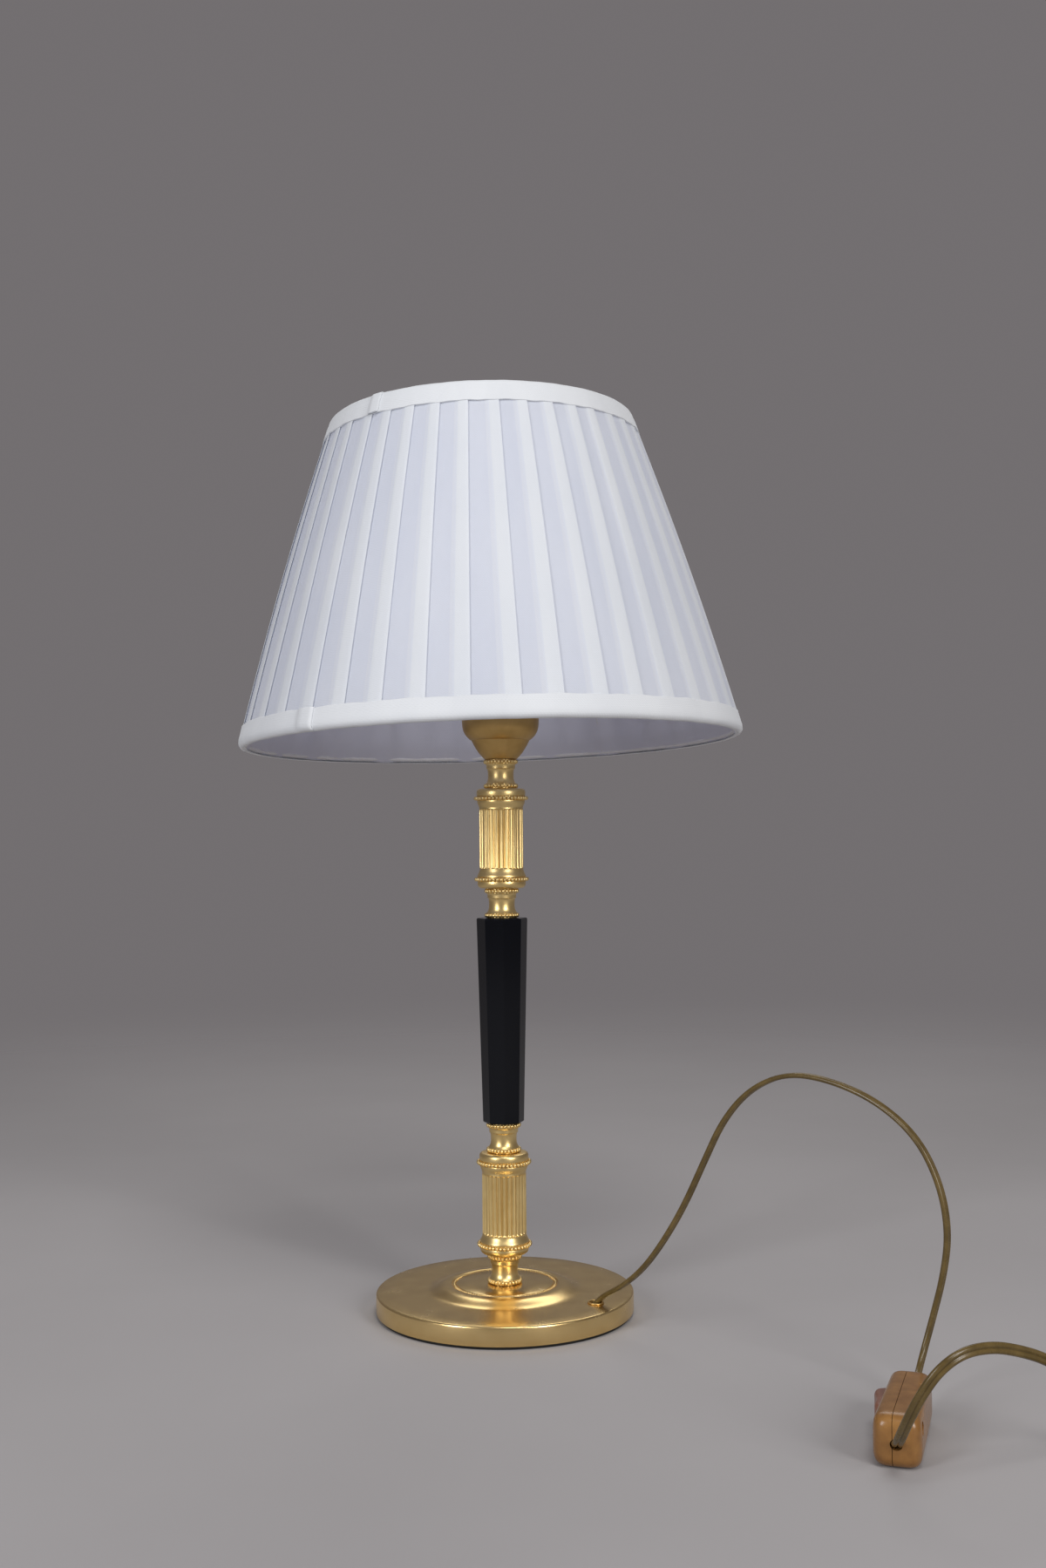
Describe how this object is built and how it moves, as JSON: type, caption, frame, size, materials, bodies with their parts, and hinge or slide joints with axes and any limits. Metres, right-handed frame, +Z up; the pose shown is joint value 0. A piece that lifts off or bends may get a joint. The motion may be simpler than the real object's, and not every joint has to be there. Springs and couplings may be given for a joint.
{
  "type": "desk lamp",
  "caption": "Table lamp with round brass base, fluted brass and black octagonal column, leaning pleated cloth shade, bulb, flex with rocker switch, coiled lead and plug.",
  "frame": {"origin": "middle of the base's underside on the column's axis", "axes": "+Z up the column, -Y towards the viewer, +X to the viewer's right, where the flex leaves"},
  "size_m": [0.5129, 0.4138, 0.4904],
  "materials": {
    "satin_brass": "satin, finely brushed",
    "ballast_iron": "rough",
    "felt": "felt",
    "zinc_steel": "zinc plated",
    "black_stem": "polished black",
    "holder_plastic": "moulded",
    "holder_ceramic": "unglazed",
    "contact_brass": "plain",
    "bulb_metal": "rolled",
    "bulb_glass": "frosted",
    "white_wire": "white coated wire",
    "lining_cloth": "smooth lining",
    "pleated_cloth": "pleated chiffon",
    "trim_tape": "bias tape",
    "flex_sheath": "translucent bronze sheath",
    "tie_plastic": "strap",
    "switch_plastic": "moulded",
    "rocker_plastic": "moulded",
    "small_steel": "plain",
    "plug_plastic": "moulded",
    "pin_metal": "nickel plated"
  },
  "bodies": {
    "lamp": {"base_ballast": "ballast_iron", "base_felt": "felt", "base_nut": "zinc_steel", "base_shell": "satin_brass", "base_washer": "zinc_steel", "cord_coil": "flex_sheath", "cord_eyelet": "satin_brass", "cord_lead": "flex_sheath", "cord_plug_lead": "flex_sheath", "cord_tail": "flex_sheath", "cord_tie": "tie_plastic", "foot_spool": "satin_brass", "holder_base": "holder_plastic", "holder_insert": "holder_ceramic", "holder_screw_shell": "contact_brass", "holder_skirt": "holder_plastic", "inner_flex": "flex_sheath", "lower_drum_cap": "satin_brass", "lower_drum_flutes": "satin_brass", "lower_drum_foot": "satin_brass", "lower_stem_spool": "satin_brass", "neck_spool": "satin_brass", "octagonal_stem": "black_stem", "plug_body": "plug_plastic", "plug_pin_far": "pin_metal", "plug_pin_near": "pin_metal", "rocker_pin": "small_steel", "shade_nut": "holder_plastic", "socket_cup": "satin_brass", "switch_contact_high": "contact_brass", "switch_contact_low": "contact_brass", "switch_screw_1": "small_steel", "switch_screw_2": "small_steel", "switch_shell_left": "switch_plastic", "switch_shell_right": "switch_plastic", "threaded_tube": "zinc_steel", "upper_drum_cap": "satin_brass", "upper_drum_flutes": "satin_brass", "upper_drum_foot": "satin_brass", "upper_stem_spool": "satin_brass"},
    "shade": {"shade_frame": "white_wire", "shade_fitter": "white_wire", "shade_lining": "lining_cloth", "shade_cover": "pleated_cloth", "shade_bottom_trim": "trim_tape", "shade_top_trim": "trim_tape"},
    "bulb_foot": {"bulb_contact": "contact_brass"},
    "bulb": {"bulb_cap": "bulb_metal", "bulb_glass": "bulb_glass"},
    "rocker": {"switch_rocker": "rocker_plastic"}
  },
  "joints": [
    {"name": "shade_turn", "type": "hinge", "parent": "lamp", "child": "shade", "pos_m": [-0.0056, 0, 0.3352], "axis": [-0.0244, 0.0332, 0.9992], "continuous": true},
    {"name": "bulb_rise", "type": "slide", "parent": "lamp", "child": "bulb_foot", "axis": [0, 0, 1], "range_m": [0, 0.0143]},
    {"name": "bulb_turn", "type": "hinge", "parent": "bulb_foot", "child": "bulb", "pos_m": [0, 0, 0.36], "axis": [0, 0, 1], "range_deg": [0, 1800]},
    {"name": "rocker_tilt", "type": "hinge", "parent": "lamp", "child": "rocker", "pos_m": [0.16907, -0.19378, 0.011], "axis": [0, 0, 1], "range_deg": [-14, 0]}
  ],
  "couplings": [
    {"joint": "bulb_rise", "follows": "bulb_turn", "m_per_rad": 0.00044914}
  ]
}
